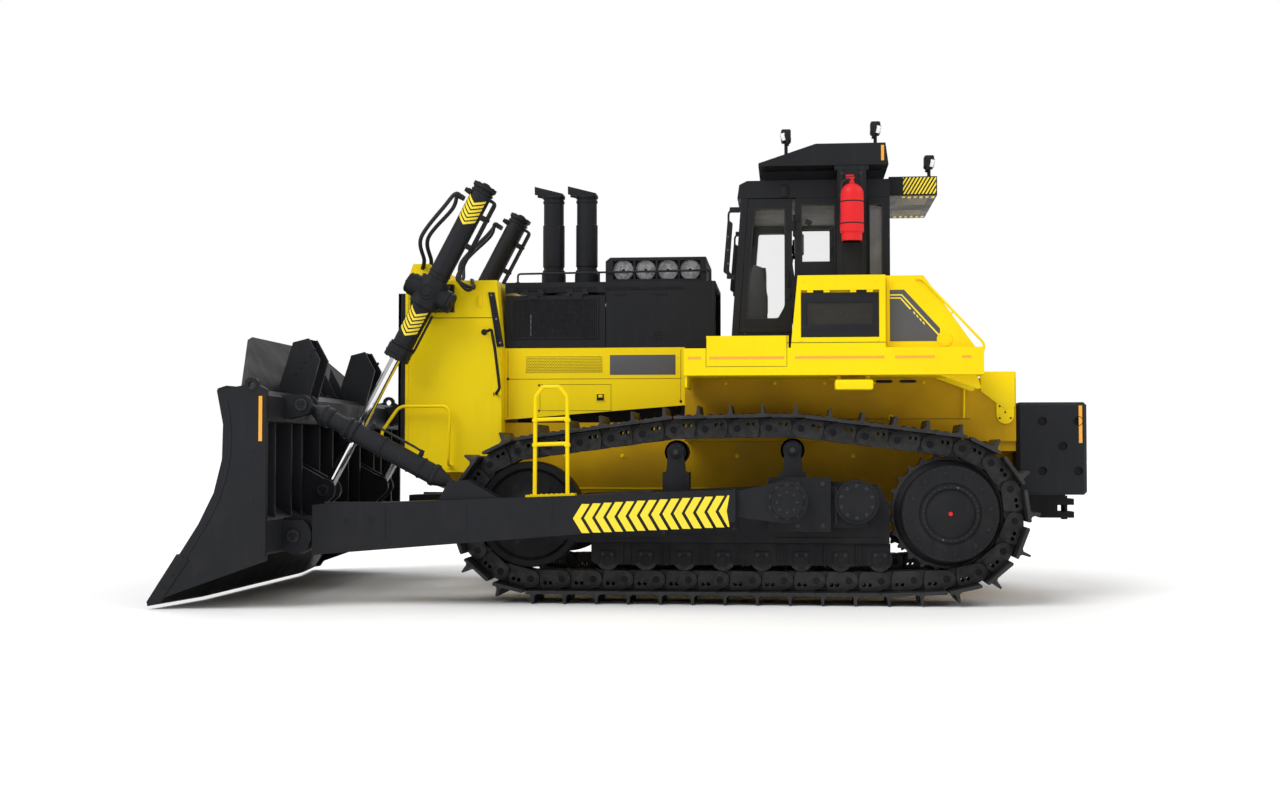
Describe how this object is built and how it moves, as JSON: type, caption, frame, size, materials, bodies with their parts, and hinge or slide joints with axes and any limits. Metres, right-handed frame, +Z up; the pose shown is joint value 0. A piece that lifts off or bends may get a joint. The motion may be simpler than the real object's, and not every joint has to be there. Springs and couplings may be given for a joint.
{
  "type": "bulldozer",
  "caption": "Large crawler bulldozer with a shallow semi-U blade on outside push arms, lift and tilt cylinders, enclosed cab under a roll-over roof and a rear counterweight.",
  "frame": {"origin": "centre of the overall box at ground level, under the grouser tips", "axes": "+Z up, the blade faces -Y, the machine's left side is +X"},
  "size_m": [5.265, 9.0344, 4.865],
  "materials": {
    "yellow_paint": "semi-gloss yellow paint",
    "black_paint": "satin charcoal-black paint",
    "engine_iron": "black painted casting",
    "track_steel": "dark rolled and forged steel",
    "chrome_rod": "polished hard chrome",
    "red_paint": "gloss red paint",
    "seat_fabric": "dark woven fabric"
  },
  "bodies": {
    "machine": {"main_frame": "yellow_paint", "radiator_guard": "yellow_paint", "lower_panel_left": "yellow_paint", "lower_panel_right": "yellow_paint", "fender_left": "yellow_paint", "fender_right": "yellow_paint", "fuel_tank": "yellow_paint", "radiator_grille": "black_paint", "hood": "black_paint", "exhaust_front": "black_paint", "exhaust_rear": "black_paint", "precleaner_box": "black_paint", "cab_floor": "black_paint", "cab_front": "black_paint", "cab_rear": "black_paint", "cab_side_left": "black_paint", "cab_side_right": "black_paint", "cab_roof": "black_paint", "rops_frame": "black_paint", "operator_seat": "black_paint", "rear_shelf": "black_paint", "counterweight": "black_paint", "drawbar": "black_paint", "equalizer_bar": "black_paint", "sprocket_left": "black_paint", "sprocket_right": "black_paint", "idler_left": "black_paint", "idler_right": "black_paint", "track_frame_left": "black_paint", "track_frame_right": "black_paint", "bottom_rollers_left": "black_paint", "bottom_rollers_right": "black_paint", "lift_yoke_left": "black_paint", "lift_yoke_right": "black_paint", "engine_block": "engine_iron", "track_left": "track_steel", "track_right": "track_steel", "fire_extinguisher": "red_paint", "seat_cushion": "seat_fabric", "seat_backrest": "seat_fabric"},
    "push_arms": {"push_arm_left": "black_paint", "push_arm_right": "black_paint", "boarding_rail_left": "yellow_paint", "boarding_rail_right": "yellow_paint"},
    "blade": {"blade": "black_paint", "cutting_edge": "track_steel"},
    "lift_barrel_left": {"lift_barrel_left": "black_paint"},
    "lift_barrel_right": {"lift_barrel_right": "black_paint"},
    "lift_rod_left": {"lift_rod_left": "chrome_rod"},
    "lift_rod_right": {"lift_rod_right": "chrome_rod"},
    "brace_barrel_left": {"brace_barrel_left": "black_paint"},
    "brace_barrel_right": {"brace_barrel_right": "black_paint"},
    "brace_rod_left": {"brace_rod_left": "black_paint"},
    "brace_rod_right": {"brace_rod_right": "black_paint"},
    "cab_door_left": {"cab_door_left": "black_paint"},
    "cab_door_right": {"cab_door_right": "black_paint"},
    "engine_door_left": {"engine_door_left": "black_paint"},
    "engine_door_right": {"engine_door_right": "black_paint"},
    "box_lid_left": {"box_lid_left": "black_paint"},
    "box_lid_right": {"box_lid_right": "black_paint"}
  },
  "joints": [
    {"name": "blade_lift", "type": "hinge", "parent": "machine", "child": "push_arms", "pos_m": [0, 1.519, 1.012], "axis": [-1, 0, 0], "range_deg": [-10.5, 15.5]},
    {"name": "blade_pitch", "type": "hinge", "parent": "push_arms", "child": "blade", "pos_m": [0, -3.25, 0.676], "axis": [1, 0, 0], "range_deg": [-6, 6]},
    {"name": "lift_barrel_left_swing", "type": "hinge", "parent": "machine", "child": "lift_barrel_left", "pos_m": [1.1, -2.151, 3.133], "axis": [-1, 0, 0], "range_deg": [-10.7, 15.7]},
    {"name": "lift_rod_left_slide", "type": "slide", "parent": "lift_barrel_left", "child": "lift_rod_left", "axis": [0, 0.4671, 0.8842], "range_m": [-0.771, 1.137]},
    {"name": "brace_barrel_left_swing", "type": "hinge", "parent": "push_arms", "child": "brace_barrel_left", "pos_m": [1.99, -1.642, 1.13], "axis": [1, 0, 0], "range_deg": [-1.9, 1.9]},
    {"name": "brace_rod_left_slide", "type": "slide", "parent": "brace_barrel_left", "child": "brace_rod_left", "axis": [0, -0.8836, 0.4683], "range_m": [-0.121, 0.121]},
    {"name": "cab_door_left_hinge", "type": "hinge", "parent": "machine", "child": "cab_door_left", "pos_m": [0.962, 1.596, 3.4], "axis": [0, 0, 1], "range_deg": [0, 85]},
    {"name": "engine_door_left_hinge", "type": "hinge", "parent": "machine", "child": "engine_door_left", "pos_m": [0.664, -0.9, 3.158], "axis": [0, -1, 0], "range_deg": [0, 90]},
    {"name": "box_lid_left_hinge", "type": "hinge", "parent": "machine", "child": "box_lid_left", "pos_m": [1.728, 2.008, 3.046], "axis": [0, -1, 0], "range_deg": [0, 90]},
    {"name": "lift_barrel_right_swing", "type": "hinge", "parent": "machine", "child": "lift_barrel_right", "pos_m": [-1.1, -2.151, 3.133], "axis": [-1, 0, 0], "range_deg": [-10.7, 15.7]},
    {"name": "lift_rod_right_slide", "type": "slide", "parent": "lift_barrel_right", "child": "lift_rod_right", "axis": [0, 0.4671, 0.8842], "range_m": [-0.771, 1.137]},
    {"name": "brace_barrel_right_swing", "type": "hinge", "parent": "push_arms", "child": "brace_barrel_right", "pos_m": [-1.99, -1.642, 1.13], "axis": [1, 0, 0], "range_deg": [-1.9, 1.9]},
    {"name": "brace_rod_right_slide", "type": "slide", "parent": "brace_barrel_right", "child": "brace_rod_right", "axis": [0, -0.8836, 0.4683], "range_m": [-0.121, 0.121]},
    {"name": "cab_door_right_hinge", "type": "hinge", "parent": "machine", "child": "cab_door_right", "pos_m": [-0.962, 1.596, 3.4], "axis": [0, 0, -1], "range_deg": [0, 85]},
    {"name": "engine_door_right_hinge", "type": "hinge", "parent": "machine", "child": "engine_door_right", "pos_m": [-0.664, -0.9, 3.158], "axis": [0, 1, 0], "range_deg": [0, 90]},
    {"name": "box_lid_right_hinge", "type": "hinge", "parent": "machine", "child": "box_lid_right", "pos_m": [-1.728, 2.008, 3.046], "axis": [0, 1, 0], "range_deg": [0, 90]}
  ],
  "couplings": [
    {"joint": "lift_barrel_left_swing", "follows": "blade_lift", "ratio": 1.01},
    {"joint": "lift_rod_left_slide", "follows": "blade_lift", "m_per_rad": 4.2},
    {"joint": "brace_barrel_left_swing", "follows": "blade_pitch", "ratio": 0.31},
    {"joint": "brace_rod_left_slide", "follows": "blade_pitch", "m_per_rad": 1.15},
    {"joint": "lift_barrel_right_swing", "follows": "blade_lift", "ratio": 1.01},
    {"joint": "lift_rod_right_slide", "follows": "blade_lift", "m_per_rad": 4.2},
    {"joint": "brace_barrel_right_swing", "follows": "blade_pitch", "ratio": 0.31},
    {"joint": "brace_rod_right_slide", "follows": "blade_pitch", "m_per_rad": 1.15}
  ]
}
